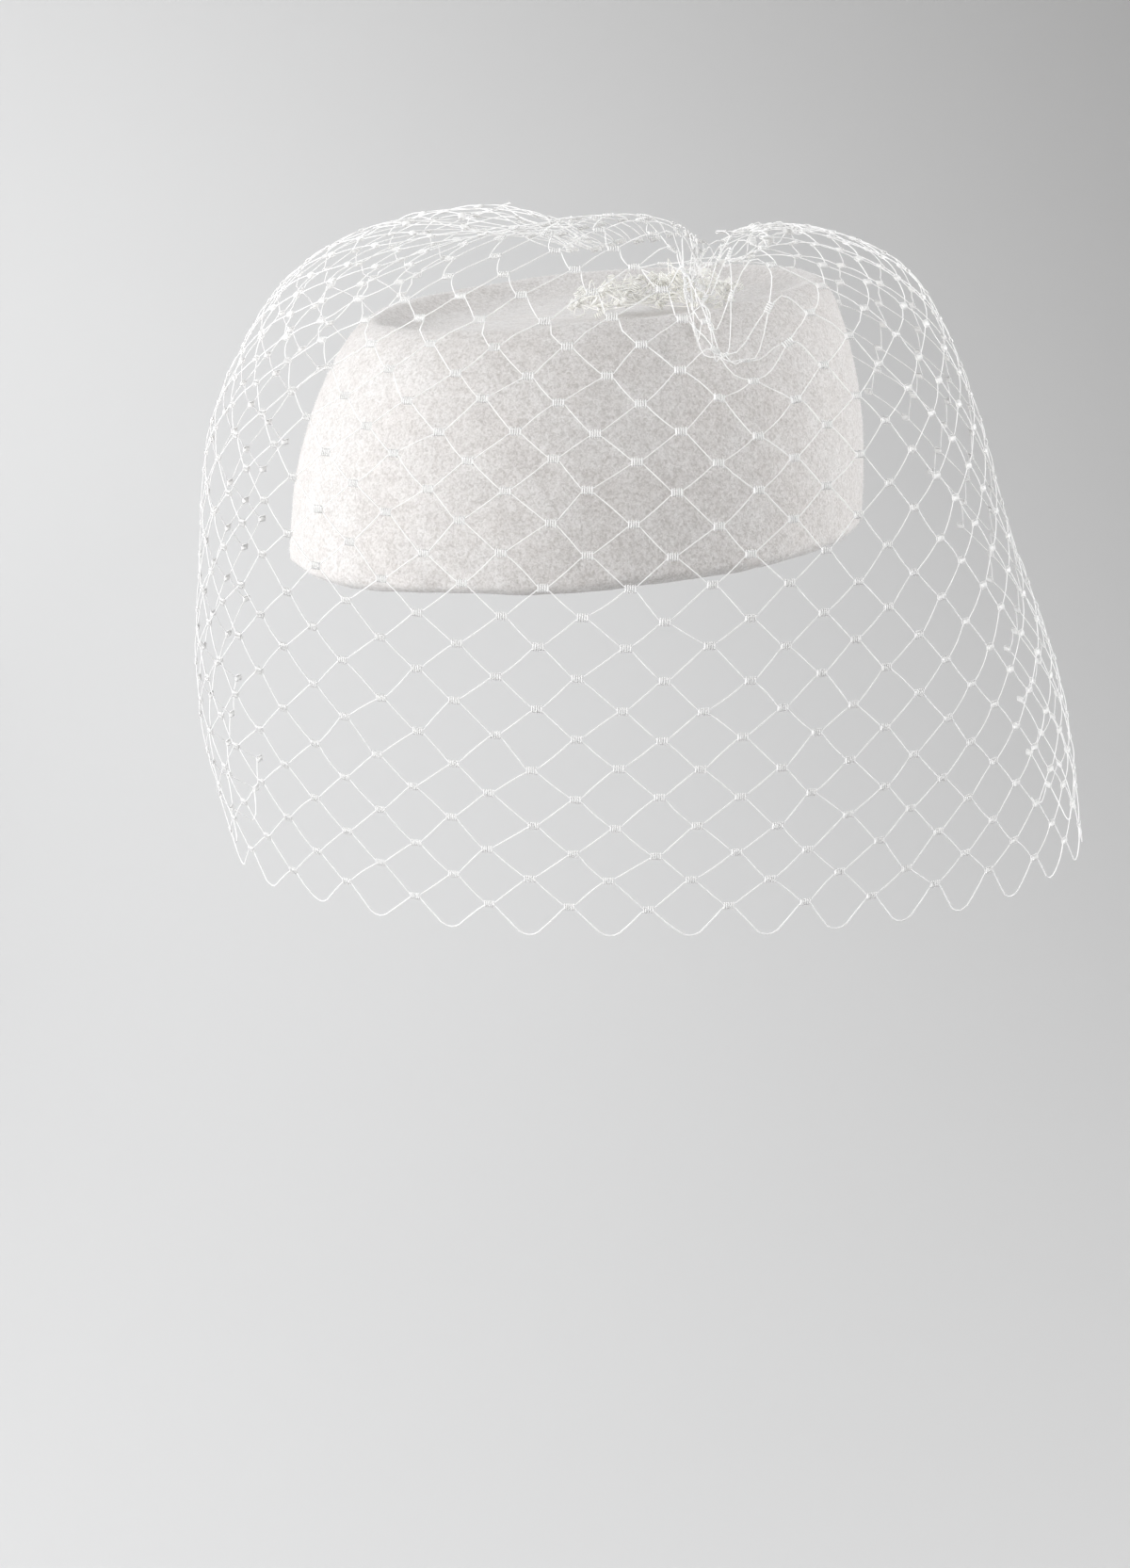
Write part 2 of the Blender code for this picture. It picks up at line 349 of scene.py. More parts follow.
def noise_node(tree, place, scale, detail, distortion=0.0):
    node = tree.nodes.new("ShaderNodeTexNoise")
    node.inputs["Scale"].default_value = scale
    node.inputs["Detail"].default_value = detail
    node.inputs["Distortion"].default_value = distortion
    tree.links.new(place, node.inputs["Vector"])
    return node.outputs["Fac"]


def ramp_node(tree, value, low, low_colour, high, high_colour):
    """One colour up to a low level of the value, another from a high level on, and a blend between."""
    node = tree.nodes.new("ShaderNodeValToRGB")
    start, end = node.color_ramp.elements
    start.position = low
    start.color = (*low_colour, 1.0)
    end.position = high
    end.color = (*high_colour, 1.0)
    tree.links.new(value, node.inputs["Fac"])
    return node.outputs["Color"]


def noise_layer(tree, place, layer):
    """A layer's noise and its colour."""
    value = noise_node(tree, place, layer.scale, layer.detail, layer.distortion)
    return value, ramp_node(tree, value, layer.low, layer.low_colour, layer.high, layer.high_colour)


def multiply_node(tree, share, first, second):
    node = tree.nodes.new("ShaderNodeMix")
    node.data_type = "RGBA"
    node.blend_type = "MULTIPLY"
    node.inputs["Factor"].default_value = share
    tree.links.new(first, node.inputs["A"])
    tree.links.new(second, node.inputs["B"])
    return node.outputs["Result"]


def bump_node(tree, height, relief, before=None):
    node = tree.nodes.new("ShaderNodeBump")
    node.inputs["Strength"].default_value = relief.strength
    node.inputs["Distance"].default_value = relief.distance
    tree.links.new(height, node.inputs["Height"])
    if before is not None:
        tree.links.new(before, node.inputs["Normal"])
    return node.outputs["Normal"]


def felt_material():
    """White wool felt: a mottled mat of fine fibres with a soft nap."""
    material, tree, shader, place = new_material("white wool felt", FELT_FINISH)
    _, colour = noise_layer(tree, place, FELT_CLOUDS)
    _, mottle_colour = noise_layer(tree, place, FELT_MOTTLE)
    flecks, fleck_colour = noise_layer(tree, place, FELT_FLECKS)
    fibres, fibre_colour = noise_layer(tree, place, FELT_FIBRES)
    colour = multiply_node(tree, FELT_MOTTLE_SHARE, colour, mottle_colour)
    colour = multiply_node(tree, FELT_FLECK_SHARE, colour, fleck_colour)
    colour = multiply_node(tree, FELT_FIBRE_SHARE, colour, fibre_colour)
    tree.links.new(colour, shader.inputs["Base Color"])
    coarse = bump_node(tree, flecks, FLECK_RELIEF)
    fine = bump_node(tree, fibres, FIBRE_RELIEF, coarse)
    tree.links.new(fine, shader.inputs["Normal"])
    return material


def fibre_material():
    """Single wool fibres that stand off the felt."""
    material, tree, shader, place = new_material("wool fibre", FIBRE_FINISH)
    _, colour = noise_layer(tree, place, FIBRE_TONE)
    tree.links.new(colour, shader.inputs["Base Color"])
    return material


def thread_material(name, tone):
    """Smooth twisted thread with a soft shine and a little unevenness in its tone."""
    material, tree, shader, place = new_material(name, THREAD_FINISH)
    _, colour = noise_layer(tree, place, tone)
    tree.links.new(colour, shader.inputs["Base Color"])
    twist = noise_node(tree, place, TWIST_SCALE, TWIST_DETAIL)
    tree.links.new(bump_node(tree, twist, TWIST_RELIEF), shader.inputs["Normal"])
    return material


def painted_falloff_backdrop_material():
    """Matte studio paint with painted light and shade: pale on the picture's left and deeper towards its
    upper right, as light falls off.
    """
    material, tree, shader, place = new_material("studio paint with painted light falloff", BACKDROP_FINISH)
    along = tree.nodes.new("ShaderNodeVectorMath")
    along.operation = "DOT_PRODUCT"
    along.inputs[1].default_value = view_place(1.0, 0.0, BACKDROP_FALLOFF_LEAN)
    tree.links.new(place, along.inputs[0])
    share = tree.nodes.new("ShaderNodeMapRange")
    share.inputs["From Min"].default_value = -BACKDROP_FALLOFF_REACH
    share.inputs["From Max"].default_value = BACKDROP_FALLOFF_REACH
    tree.links.new(along.outputs["Value"], share.inputs["Value"])
    # Painted light falloff: pale on the picture's left, painted shade towards its upper right
    colour = ramp_node(tree, share.outputs["Result"], 0.0, BACKDROP_PAINTED_LIGHT, 1.0, BACKDROP_PAINTED_SHADE)
    tree.links.new(colour, shader.inputs["Base Color"])
    return material


# Crown


def edge_roll_profile():
    points = []
    for step in range(EDGE_ROLL_STEPS + 1):
        degrees = EDGE_ROLL_END_DEG + (180.0 - EDGE_ROLL_END_DEG) * step / EDGE_ROLL_STEPS
        angle = math.radians(degrees)
        inset = EDGE_ROLL_RADIUS * (1.0 + math.cos(angle))
        height = EDGE_ROLL_RADIUS * (1.0 + math.sin(angle))
        points.append(WallPoint(inset, height))
    return points


def crown_profile():
    """The felt's outer face from the turned-under edge up the wall and into the sunk tip."""
    return edge_roll_profile() + list(CROWN_WALL)


def smooth_line(points, step):
    """Evenly spaced points on a smooth curve through the given ones."""
    points = np.array(points, float)
    ends = np.vstack([2 * points[0] - points[1], points, 2 * points[-1] - points[-2]])
    parts = np.linspace(0.0, 1.0, SMOOTH_PARTS, endpoint=False)[:, None]
    pieces = []
    for index in range(1, len(ends) - 2):
        before, start, end, after = ends[index - 1 : index + 3]
        curve = (
            2 * start
            + (end - before) * parts
            + (2 * before - 5 * start + 4 * end - after) * parts**2
            + (3 * start - before - 3 * end + after) * parts**3
        )
        pieces.append(0.5 * curve)
    line = np.vstack([*pieces, ends[-2:-1]])
    along = np.concatenate([[0.0], np.cumsum(np.linalg.norm(np.diff(line, axis=0), axis=1))])
    count = max(2, round(along[-1] / step) + 1)
    wanted = np.linspace(0.0, along[-1], count)
    return np.stack([np.interp(wanted, along, line[:, axis]) for axis in range(line.shape[1])], axis=1)


def crown_set_back(height):
    return TOP_SET_BACK * max(height / CROWN_HEIGHT, 0.0) ** SET_BACK_POWER


def crown_point(inset, height, angle):
    """A point of the crown's outer face; the angle runs from the wearer's front to the wearer's left."""
    x = (RIM_HALF_WIDTH - inset) * math.sin(angle)
    y = crown_set_back(height) - (RIM_HALF_DEPTH - inset) * math.cos(angle)
    lift = TOP_SLOPE * y * height / CROWN_HEIGHT
    return Vector((x, y, height + lift))


def tip_height(x, y):
    """The height of the sunk tip at a place inside the raised edge."""
    flat = CROWN_WALL[-1].height
    across = x / RIM_HALF_WIDTH
    along = (y - crown_set_back(flat)) / RIM_HALF_DEPTH
    inset = RIM_HALF_WIDTH * (1.0 - math.hypot(across, along))
    level = np.interp(inset, [p.inset for p in CROWN_WALL], [p.height for p in CROWN_WALL])
    return level * (1.0 + TOP_SLOPE * y / CROWN_HEIGHT)


def felt_lump(place):
    return sum(lump.height * noise.noise(place / lump.size) for lump in FELT_LUMPS)


def crown_angles():
    return [2.0 * math.pi * step / CROWN_SEGMENTS for step in range(CROWN_SEGMENTS)]


def crown_rings():
    """Rings of the outer face, pushed in and out by the felt's unevenness, and the outward directions."""
    profile = smooth_line(crown_profile(), CROWN_RING_STEP)
    angles = crown_angles()
    flat = np.array([[crown_point(inset, height, angle) for angle in angles] for inset, height in profile])
    along = np.gradient(flat, axis=0)
    around = np.roll(flat, -1, axis=1) - np.roll(flat, 1, axis=1)
    outward = np.cross(around, along)
    outward /= np.linalg.norm(outward, axis=2, keepdims=True)
    lumps = np.array([[felt_lump(Vector(point)) for point in ring] for ring in flat])
    return flat + outward * lumps[:, :, None], outward


def make_crown(material):
    rings, outward = crown_rings()
    count = CROWN_SEGMENTS
    points = rings.reshape(-1, 3).tolist()
    faces = ring_faces(0, len(rings), count)
    middle = len(points)
    last = middle - count
    points.append(rings[-1].mean(axis=0).tolist())
    faces += [(last + step, last + (step + 1) % count, middle) for step in range(count)]
    crown = mesh_object("felt_hat", points, faces, material)
    shell = crown.modifiers.new("Thickness", "SOLIDIFY")
    shell.thickness = FELT_THICKNESS
    shell.offset = -1.0
    shell.use_even_offset = True
    return crown, rings, outward


def make_fuzz(rings, outward, material):
    """Short curved fibres over the outer face, each a thin ribbon of two parts."""
    draw = np.random.default_rng(FUZZ_SEED)
    ring = draw.integers(0, len(rings), FUZZ_COUNT)
    size = np.linalg.norm(rings[ring, 0] - rings[ring, CROWN_SEGMENTS // 2], axis=1)
    kept = draw.random(FUZZ_COUNT) < size / size.max()
    ring = ring[kept]
    step = draw.integers(0, CROWN_SEGMENTS, len(ring))
    total = len(ring)
    root = rings[ring, step] + draw.normal(0.0, FUZZ_ROOT_SCATTER, (total, 3))
    normal = outward[ring, step]
    root -= normal * ((root - rings[ring, step]) * normal).sum(1, keepdims=True)
    sideways = np.cross(normal, draw.normal(0.0, 1.0, (total, 3)))
    sideways /= np.linalg.norm(sideways, axis=1, keepdims=True)
    half = draw.uniform(FUZZ_LENGTH_MIN, FUZZ_LENGTH_MAX, (total, 1)) * 0.5
    rise = draw.uniform(FUZZ_RISE_MIN, FUZZ_RISE_MAX, (total, 1))
    stray = draw.normal(0.0, FUZZ_TIP_SCATTER, (total, 3))
    middle = root + (normal * rise + sideways * FUZZ_LEAN) * half
    tip = middle + (normal * rise * FUZZ_TIP_RISE + sideways * FUZZ_TIP_LEAN + stray) * half
    width = np.cross(normal, sideways) * FUZZ_HALF_WIDTH
    corners = np.stack([root - width, root + width, middle - width, middle + width, tip], axis=1)
    first = np.arange(total)[:, None] * corners.shape[1]
    lower = first + np.array([0, 1, 3, 2])
    upper = first + np.array([2, 3, 4])
    faces = lower.tolist() + upper.tolist()
    return mesh_object("felt_fuzz", corners.reshape(-1, 3).tolist(), faces, material)


# Veil surface


def section_at(drop):
    """The section at a drop, read from a smooth curve through the given ones (a cubic Hermite spline)."""
    table = np.array(VEIL_SECTIONS, float)
    last = len(table) - 1
    index = int(np.clip(np.searchsorted(table[:, 0], drop) - 1, 0, last - 1))
    before, start = table[max(index - 1, 0)], table[index]
    end, after = table[index + 1], table[min(index + 2, last)]
    span = end[0] - start[0]
    part = (drop - start[0]) / span
    slope_start = (end - before) / (end[0] - before[0])
    slope_end = (after - start) / (after[0] - start[0])
    square, cube = part**2, part**3
    figures = (
        (2 * cube - 3 * square + 1) * start
        + (cube - 2 * square + part) * span * slope_start
        + (3 * square - 2 * cube) * end
        + (cube - square) * span * slope_end
    )
    return Section(*figures)


def turned(across, forward, turn_deg):
    """X and Y of a place, given to the side and forward in directions turned from the wearer's front."""
    turn = math.radians(turn_deg)
    x = across * math.cos(turn) + forward * math.sin(turn)
    y = across * math.sin(turn) - forward * math.cos(turn)
    return x, y


@lru_cache(maxsize=None)
def crown_outline():
    points = np.array([(-point.inset, point.height) for point in crown_profile()])
    return points[:-1], points[1:]


def off_the_felt(x, y, z):
    """The place itself, or the nearest one that leaves the net its clearance to the crown."""
    tilt = 1.0 + TOP_SLOPE * y / CROWN_HEIGHT
    back = crown_set_back(min(z / tilt, CROWN_HEIGHT))
    reach = math.hypot(x, (y - back) * RIM_HALF_WIDTH / RIM_HALF_DEPTH)
    here = np.array((reach - RIM_HALF_WIDTH, z / tilt))
    start, end = crown_outline()
    along = end - start
    part = np.clip(((here - start) * along).sum(1) / (along * along).sum(1), 0.0, 1.0)
    foot = start + along * part[:, None]
    gaps = np.linalg.norm(here - foot, axis=1)
    nearest = int(gaps.argmin())
    normal = np.array((along[nearest, 1], -along[nearest, 0]))
    normal /= np.linalg.norm(normal)
    moved = here
    if gaps[nearest] < NET_CLEARANCE or (here - foot[nearest]) @ normal <= 0.0:
        moved = foot[nearest] + normal * NET_CLEARANCE
    grow = (RIM_HALF_WIDTH + moved[0]) / reach
    return np.array((x * grow, back + (y - back) * grow, moved[1] * tilt))


def dip_strength(dip, angle, drop):
    """How much of a dip acts at a place: all of it in its middle, fading to none around."""
    middle = dip.angle_deg + dip.skew_deg * (dip.middle_drop - drop)
    apart = (math.degrees(angle) - middle + 180.0) % 360.0 - 180.0
    sideways = math.exp(-(abs(apart / dip.width_deg) ** dip.steepness))
    downwards = math.exp(-(((drop - dip.middle_drop) / dip.reach) ** 2))
    return sideways * downwards * min(drop / DIP_START, 1.0)


def ruffle(angle, drop):
    """The height of the ruffles at a place. They are deepest between the crest and the gather."""
    near = math.exp(-(((drop - RUFFLE_MIDDLE_DROP) / RUFFLE_REACH) ** 2))
    behind = (1.0 - math.cos(angle)) / 2.0
    first = math.sin(RUFFLE_COUNT * angle)
    second = math.sin(SECOND_RUFFLE_COUNT * RUFFLE_COUNT * angle + SECOND_RUFFLE_SHIFT)
    wave = first + SECOND_RUFFLE_HEIGHT * second
    return RUFFLE_HEIGHT * near * behind * wave * min(drop / DIP_START, 1.0)


def veil_point(angle, drop):
    section = section_at(drop)
    half_width, half_depth = section.half_width, section.half_depth
    height = section.height - HEM_SLANT * math.sin(angle) * drop**2
    for dip in DIPS:
        strength = dip_strength(dip, angle, drop)
        height -= dip.down * strength
        half_width -= dip.inward * strength
        half_depth -= dip.inward * strength
    height += ruffle(angle, drop)
    across = section.across + half_width * math.sin(angle)
    forward = section.forward + half_depth * math.cos(angle)
    x, y = turned(across, forward, VEIL_TURN_DEG)
    return off_the_felt(x, y, height)


# Lattice


@lru_cache(maxsize=None)
def path_table():
    """Drops, and how far each lies from the hem along the net."""
    drops = np.linspace(1.0, 0.0, PATH_SAMPLES)
    rows = [section_at(drop) for drop in drops]
    heights = np.array([row.height for row in rows])
    radii = np.array([(row.half_width + row.half_depth) / 2.0 for row in rows])
    steps = np.hypot(np.diff(heights), np.diff(radii))
    return np.concatenate([[0.0], np.cumsum(steps)]), drops


@lru_cache(maxsize=ARC_TABLES_KEPT)
def arc_table(drop):
    """Angles across the net at a drop, and the arc from its middle to each."""
    section = section_at(drop)
    reach = math.radians(section.spread_deg)
    angles = np.linspace(-reach, reach, ARC_SAMPLES)
    speed = np.hypot(section.half_width * np.cos(angles), section.half_depth * np.sin(angles))
    steps = (speed[1:] + speed[:-1]) / 2.0 * np.diff(angles)
    arcs = np.concatenate([[0.0], np.cumsum(steps)])
    return angles, arcs - np.interp(0.0, angles, arcs)


def drop_at_path(path):
    paths, drops = path_table()
    return float(np.interp(path, paths, drops))


def even_row_path(row):
    return HEM_START + HALF_ROW * row - ROW_SHRINK * row**2


@lru_cache(maxsize=None)
def row_paths():
    """How far each half row lies from the hem. Where the columns close up, the rows grow taller."""
    paths = [even_row_path(row) for row in range(LAST_EVEN_ROW + 1)]
    full = path_table()[0][-1] - GATHER_PATH
    widest = arc_table(drop_at_path(paths[-1]))[1][-1]
    while True:
        share = arc_table(drop_at_path(paths[-1]))[1][-1] / widest
        half = min(HALF_COLUMN * share, SIDE_LENGTH * SIDE_SPREAD_LIMIT)
        step = math.sqrt(SIDE_LENGTH**2 - half**2)
        if paths[-1] + step > full:
            return paths
        paths.append(paths[-1] + step)


def top_row():
    return len(row_paths()) - 1


def column_arc(column, row):
    half_column = HALF_COLUMN - COLUMN_NARROWING * row
    arc = FIRST_COLUMN_ARC + half_column * column + LEAN * row - LEAN_FADE * row**2
    above = max(row - TOP_NARROWING_ROW, 0.0)
    arc -= TOP_NARROWING * above**2 * min(column, TOP_NARROWING_COLUMN)
    beside = max(column - SIDE_NARROWING_COLUMN, 0.0)
    return arc - SIDE_NARROWING * beside * max(1.0 - row / SIDE_NARROWING_ROWS, 0.0)


def top_lean(column, row):
    """How far the columns run sideways in the upper rows, towards the fold between the front puffs."""
    towards = min(max((TOP_LEAN_MIDDLE - column) / TOP_LEAN_COLUMNS, -1.0), 1.0)
    return TOP_LEAN * towards * max(row - TOP_LEAN_ROW, 0.0)


def row_slant(column, row):
    """How far the rows sink towards the wearer's left, and rise towards the right."""
    beside = min(max(column - SLANT_PIVOT, -SLANT_COLUMNS), SLANT_COLUMNS)
    return SLANT * beside * min(row / SLANT_ROWS, 1.0)


def lattice_side(column, row):
    """Where a lattice place lies between the net's side edges, from -1 to 1, and its drop."""
    path = float(np.interp(row, np.arange(top_row() + 1), row_paths()))
    drop = drop_at_path(path - row_slant(column, row))
    level = min(row, LAST_EVEN_ROW)
    level_drop = drop if row <= LAST_EVEN_ROW else drop_at_path(row_paths()[LAST_EVEN_ROW])
    reach = arc_table(level_drop)[1][-1]
    return (column_arc(column, level) + top_lean(column, row)) / reach, drop


def net_point(column, row):
    side, drop = lattice_side(column, row)
    angles, arcs = arc_table(drop)
    angle = float(np.interp(side * arcs[-1], arcs, angles))
    return veil_point(angle, drop)


def on_the_net(column, row):
    return 0 <= row <= top_row() and abs(lattice_side(column, row)[0]) <= 1.0


Knot = namedtuple("Knot", "place along up out")


def lattice_frame(column, row):
    """The directions along the row, up the net and out of it at a lattice place."""
    low, high = max(row - LATTICE_STEP, 0.0), min(row + LATTICE_STEP, top_row())
    left, right = net_point(column - LATTICE_STEP, row), net_point(column + LATTICE_STEP, row)
    along = Vector(right - left).normalized()
    up = Vector(net_point(column, high) - net_point(column, low))
    out = along.cross(up).normalized()
    up = out.cross(along).normalized()
    return along, up, out


def make_knots():
    """The place and directions of every knot, by its half column and half row."""
    draw = np.random.default_rng(NET_SEED)
    knots = {}
    for row in range(0, top_row() + 1):
        for column in range(-COLUMN_REACH, COLUMN_REACH + 1):
            shift = draw.normal(0.0, KNOT_JITTER, 2)
            if (column + row) % 2 or not on_the_net(column, row):
                continue
            along, up, out = lattice_frame(column, row)
            place = Vector(net_point(column, row)) + along * shift[0] + up * shift[1]
            knots[(column, row)] = Knot(place, along, up, out)
    return knots


def rail(knot, upper):
    """The two ends of the knot's upper or lower thread, from left to right."""
    lift = knot.up * (KNOT_HALF_HEIGHT if upper else -KNOT_HALF_HEIGHT)
    reach = knot.along * KNOT_HALF_LENGTH
    return [knot.place - reach + lift, knot.place + reach + lift]


def hem_tip(knot):
    """The rounded lowest stretch of the hem thread at one of its points, from left to right."""
    points = []
    for step in range(HEM_TIP_STEPS + 1):
        side = 2.0 * step / HEM_TIP_STEPS - 1.0
        sideways = knot.along * HEM_TIP_HALF_WIDTH * side
        points.append(knot.place + sideways + knot.up * HEM_TIP_RISE * side**2)
    return points


def strand(start, end, first, last, bow):
    """Points between two knots' corners, which follow the net's surface, without the corners."""
    column, row = start
    base_start = Vector(net_point(*start))
    base_end = Vector(net_point(*end))
    points = []
    for step in range(1, STRAND_STEPS):
        part = step / STRAND_STEPS
        place = Vector(net_point(column + (end[0] - column) * part, row + (end[1] - row) * part))
        straight = base_start.lerp(base_end, part)
        swell = place - straight
        points.append(first.lerp(last, part) + swell + bow * math.sin(math.pi * part))
    return points


def zigzag_runs(knots, row):
    """The thread between two half rows of knots, broken where the net ends."""
    runs, current = [], []
    for column in range(-COLUMN_REACH, COLUMN_REACH + 1):
        place = (column, row + (column + row) % 2)
        if place in knots:
            current.append(place)
        elif current:
            runs.append(current)
            current = []
    if current:
        runs.append(current)
    return [run for run in runs if len(run) > 1]


def zigzag_points(knots, run, row, draw):
    """The points of one thread that runs along knots of two neighbouring half rows."""
    points = []
    for index, place in enumerate(run):
        knot = knots[place]
        along_knot = hem_tip(knot) if place[1] == 0 else rail(knot, upper=place[1] == row)
        if index:
            bow = Vector(draw.normal(0.0, STRAND_BOW, 3))
            points += strand(run[index - 1], place, points[-1], along_knot[0], bow)
        points += along_knot
    return points


# Tubes


def tube(points, radius, sides, closed=False):
    """Points and faces of a tube along a line, with its ring turned as little as possible."""
    count = len(points)
    rings = []
    across = None
    for index, point in enumerate(points):
        before = points[index - 1] if closed else points[max(index - 1, 0)]
        after = points[(index + 1) % count] if closed else points[min(index + 1, count - 1)]
        ahead = (after - before).normalized()
        if across is None:
            across = ahead.orthogonal().normalized()
        across = (across - ahead * across.dot(ahead)).normalized()
        other = ahead.cross(across)
        for side in range(sides):
            angle = 2.0 * math.pi * side / sides
            rings.append(point + (across * math.cos(angle) + other * math.sin(angle)) * radius)
    faces = ring_faces(0, count, sides, closed)
    if not closed:
        faces.append(tuple(range(sides))[::-1])
        faces.append(tuple(range((count - 1) * sides, count * sides)))
    return rings, faces


class Bundle:
    """Collects many small meshes into one."""

    def __init__(self):
        self.points, self.faces = [], []

    def add(self, made):
        start = len(self.points)
        points, faces = made
        self.points += [tuple(point) for point in points]
        self.faces += [tuple(start + index for index in face) for face in faces]

    def build(self, name, material):
        return mesh_object(name, self.points, self.faces, material)


def add_wraps(bundle, knot):
    """The short loops that bind a knot's two threads together."""
    for wrap in range(KNOT_WRAPS):
        along = (2.0 * (wrap + 0.5) / KNOT_WRAPS - 1.0) * KNOT_HALF_LENGTH * WRAPPED_SHARE
        loop = []
        for step in range(WRAP_STEPS):
            angle = 2.0 * math.pi * (step + 0.5) / WRAP_STEPS
            up = math.sin(angle) * (KNOT_HALF_HEIGHT + THREAD_RADIUS + WRAP_RADIUS)
            out = math.cos(angle) * (THREAD_RADIUS + WRAP_RADIUS)
            loop.append(knot.place + knot.along * along + knot.up * up + knot.out * out)
        bundle.add(tube(loop, WRAP_RADIUS, WRAP_SIDES, closed=True))


def make_net(knots, thread):
    """All threads of the net but the hem's, the hem's thread, and the wraps of the knots."""
    draw = np.random.default_rng(NET_SEED + 1)
    threads, hem = Bundle(), Bundle()
    for row in range(0, top_row()):
        for run in zigzag_runs(knots, row):
            points = zigzag_points(knots, run, row, draw)
            if row == 0:
                hem.add(tube(points, HEM_THREAD_RADIUS, THREAD_SIDES))
            else:
                threads.add(tube(points, THREAD_RADIUS, THREAD_SIDES))
    wraps = Bundle()
    for (column, row), knot in knots.items():
        if row > 0:
            add_wraps(wraps, knot)
    return (
        threads.build("net_threads", thread),
        hem.build("net_hem", thread),
        wraps.build("net_knots", thread),
    )


# Gather


def crumple(place):
    """How far the crumpled net strays at a place: one wave of noise for each axis."""
    start = place / GATHER_CRUMPLE_SIZE
    waves = [noise.noise(start + Vector(shift)) for shift in GATHER_CRUMPLE_SHIFTS]
    return Vector(waves) * GATHER_CRUMPLE


def gather_point(turn, rise):
    """A place in the crumpled bunch: turn runs round it, and rise from its foot to its top."""
    angle = 2.0 * math.pi * turn
    spread = max(math.sqrt(1.0 - rise**2), GATHER_TOP_SPREAD)
    across = GATHER_ACROSS + GATHER_HALF_WIDTH * spread * math.sin(angle)
    forward = GATHER_FORWARD + GATHER_HALF_DEPTH * spread * math.cos(angle)
    x, y = turned(across, forward, VEIL_TURN_DEG)
    height = tip_height(x, y) + SEAT_GAP + GATHER_CRUMPLE + rise * (GATHER_HEIGHT - 2.0 * GATHER_CRUMPLE)
    place = Vector((x, y, height))
    return place + crumple(place)


def make_gather(thread):
    """The net's crumpled edge: zigzag threads and a few knots heaped round the bunch in rings."""
    draw = np.random.default_rng(NET_SEED + 2)
    bundle = Bundle()
    for row in range(GATHER_ROWS):
        points = []
        for column in range(GATHER_COLUMNS):
            turn = (column + 0.5 * (row % 2)) / GATHER_COLUMNS
            rise = min((row + GATHER_ZIGZAG_ROWS * (column % 2)) / GATHER_ROWS, 1.0)
            points.append(gather_point(turn, rise) + Vector(draw.normal(0.0, GATHER_SCATTER, 3)))
        line = smooth_line([*points, points[0]], KNOT_HALF_LENGTH)[:-1]
        bundle.add(tube([Vector(point) for point in line], THREAD_RADIUS, THREAD_SIDES, closed=True))
        for place in points[row % GATHER_KNOT_EVERY :: GATHER_KNOT_EVERY]:
            along = Vector(draw.normal(0.0, 1.0, 3)).normalized()
            up = along.orthogonal().normalized()
            add_wraps(bundle, Knot(place, along, up, along.cross(up)))
    return bundle.build("net_bunch", thread)


# Stage and camera


def make_stage():
    """A floor that curves up into a wall all round, painted pale to deep as painted light and shade."""
    profile = [(0.0, FLOOR_HEIGHT), (FLOOR_RADIUS - COVE_RADIUS, FLOOR_HEIGHT)]
    for step in range(1, COVE_STEPS + 1):
        angle = math.pi / 2.0 * step / COVE_STEPS
        radius = FLOOR_RADIUS - COVE_RADIUS + COVE_RADIUS * math.sin(angle)
        profile.append((radius, FLOOR_HEIGHT + COVE_RADIUS * (1.0 - math.cos(angle))))
    profile.append((FLOOR_RADIUS, FLOOR_HEIGHT + WALL_HEIGHT))
    size = COVE_SEGMENTS
    points = [(0.0, 0.0, FLOOR_HEIGHT)]
    for radius, height in profile[1:]:
        for step in range(size):
            angle = 2.0 * math.pi * step / size
            points.append((radius * math.cos(angle), radius * math.sin(angle), height))
    floor = [(0, 1 + step, 1 + (step + 1) % size) for step in range(size)]
    inward = [(a, d, c, b) for a, b, c, d in ring_faces(1, len(profile) - 1, size)]
    cove = mesh_object("studio_cove", points, floor + inward, painted_falloff_backdrop_material())


def view_place(across, forward, height):
    """A place given to the picture's right, towards the camera, and up."""
    return Vector((*turned(across, forward, CAMERA_AZIMUTH_DEG), height))


def make_light(spec):
    data = bpy.data.lights.new(spec.name, "AREA")
    data.shape = "DISK"
    data.size = spec.size
    data.energy = spec.power
    light = bpy.data.objects.new(spec.name, data)
    bpy.context.scene.collection.objects.link(light)
    place = view_place(spec.across, spec.forward, spec.height)
    target = view_place(spec.aim_across, spec.aim_forward, spec.aim_height)
    light.location = place
    light.rotation_euler = (target - place).to_track_quat("-Z", "Y").to_euler()
    light.visible_camera = False


def make_lights():
    for spec in STUDIO_LIGHTS:
        make_light(spec)


def make_air():
    world = bpy.data.worlds.new("studio_air")
    world.use_nodes = True
    air = world.node_tree.nodes["Background"]
    air.inputs["Color"].default_value = (*AIR_COLOUR, 1.0)
    air.inputs["Strength"].default_value = AIR_STRENGTH
    bpy.context.scene.world = world


def keep_pale_tones():
    """Show the pale felt and wall in their own tones, without the default transform's greying."""
    bpy.context.scene.view_settings.view_transform = "Standard"


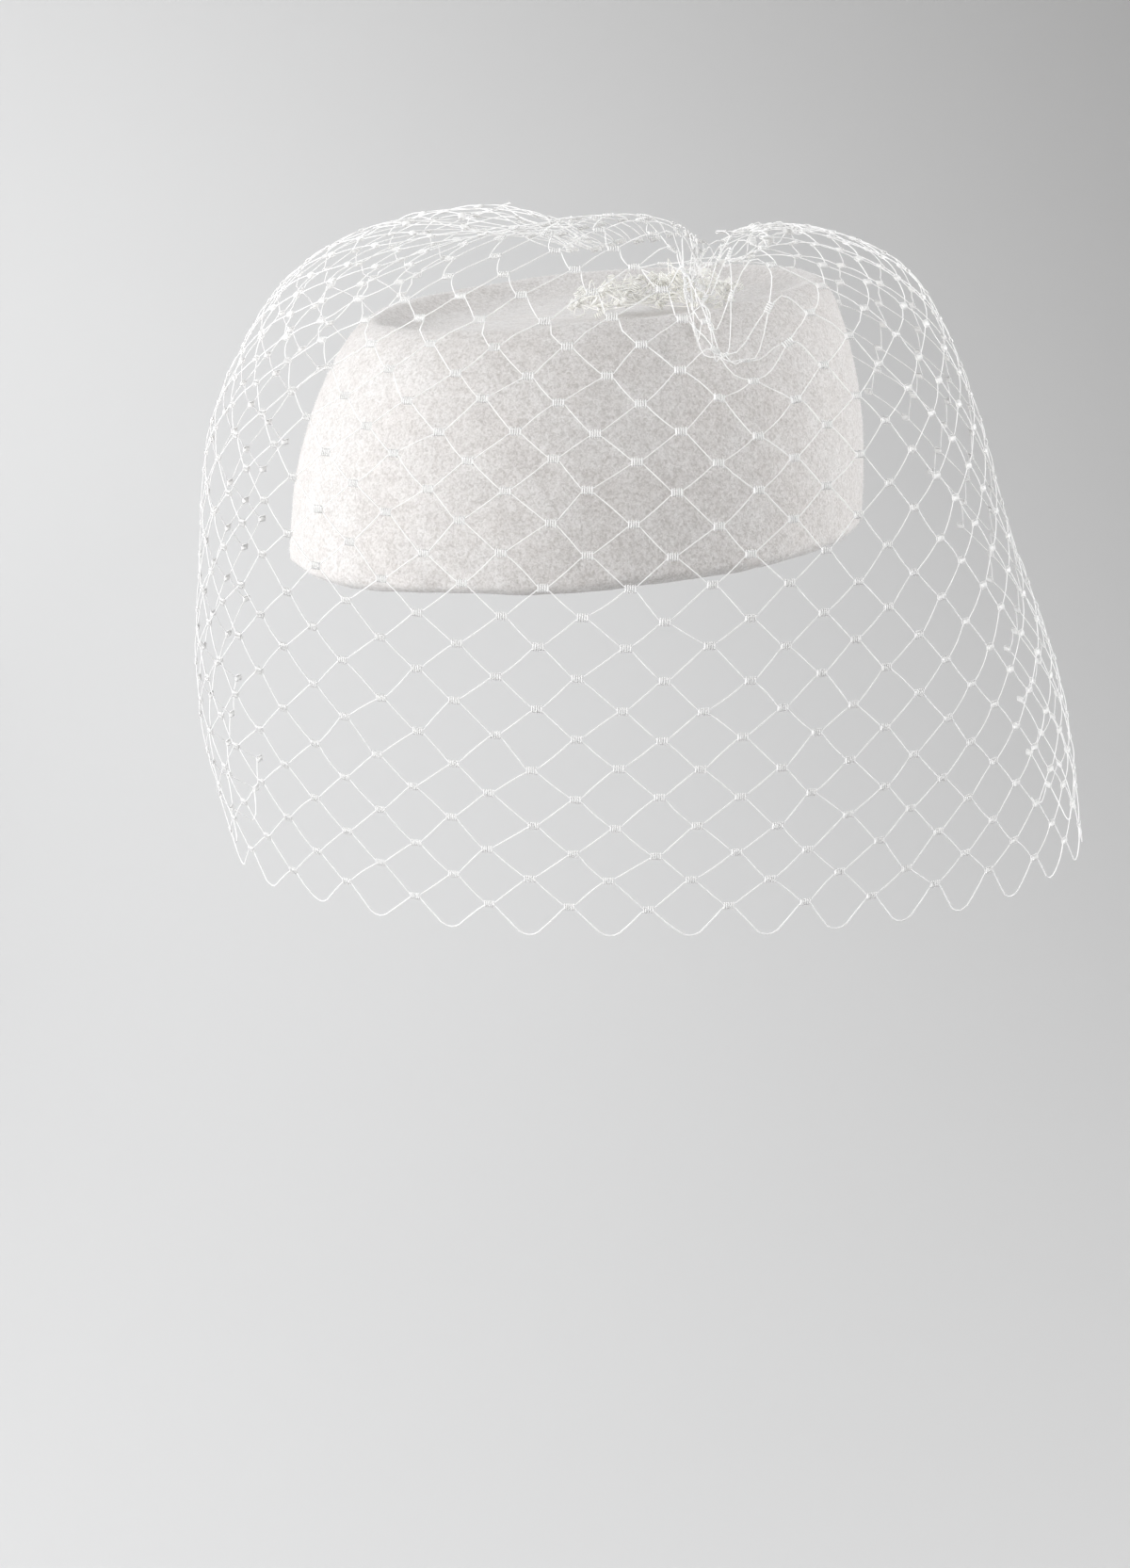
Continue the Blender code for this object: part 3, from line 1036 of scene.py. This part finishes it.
def camera_axes(yaw):
    """The camera's right, up and backward directions for a yaw."""
    pitch, roll = math.radians(CAMERA_PITCH_DEG), math.radians(CAMERA_ROLL_DEG)
    sky = Vector((0.0, 0.0, 1.0))
    level_right = view_place(1.0, 0.0, 0.0)
    level_back = view_place(0.0, 1.0, 0.0)
    right = level_right * math.cos(yaw) + level_back * math.sin(yaw)
    back = level_back * math.cos(yaw) - level_right * math.sin(yaw)
    look = -back * math.cos(pitch) - sky * math.sin(pitch)
    up = sky * math.cos(pitch) - back * math.sin(pitch)
    turned_right = right * math.cos(roll) - up * math.sin(roll)
    turned_up = right * math.sin(roll) + up * math.cos(roll)
    return turned_right, turned_up, -look


def make_camera():
    """The camera at its place, turned sideways until the origin stands where the picture has it."""
    place = view_place(0.0, CAMERA_DISTANCE, CAMERA_HEIGHT)
    yaw = 0.0
    for _ in range(AIM_ROUNDS):
        right, up, back = camera_axes(yaw)
        to_origin = -place
        seen = FOCAL_PX * to_origin.dot(right) / -to_origin.dot(back)
        yaw += (seen - ORIGIN_PX_RIGHT_OF_MIDDLE) / FOCAL_PX
    right, up, back = camera_axes(yaw)
    data = bpy.data.cameras.new("camera")
    data.sensor_width = SENSOR_MM
    data.lens = FOCAL_PX / IMAGE_LONG_SIDE_PX * SENSOR_MM
    camera = bpy.data.objects.new("camera", data)
    bpy.context.scene.collection.objects.link(camera)
    turn = Matrix((right, up, back)).transposed().to_4x4()
    camera.matrix_world = Matrix.Translation(place) @ turn
    bpy.context.scene.camera = camera


def main():
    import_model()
    make_camera()
    felt = felt_material()
    thread = thread_material("ivory net thread", NET_TONE)
    # The bunched threads get a deeper cream tone: painted shade of the heaped net
    shaded_bunch_thread = thread_material("bunched net thread with painted shade", BUNCH_SHADE_TONE)

    crown, rings, outward = make_crown(felt)
    fuzz = make_fuzz(rings, outward, fibre_material())
    knots = make_knots()
    net, hem, wraps = make_net(knots, thread)
    bunch = make_gather(shaded_bunch_thread)

    for piece in (crown, fuzz, net, hem, wraps, bunch):
        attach(piece, "root")
    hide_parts("felt_crown")
    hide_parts("veil_net")
    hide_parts("veil_gather")

    make_stage()
    make_lights()
    make_air()
    keep_pale_tones()


main()
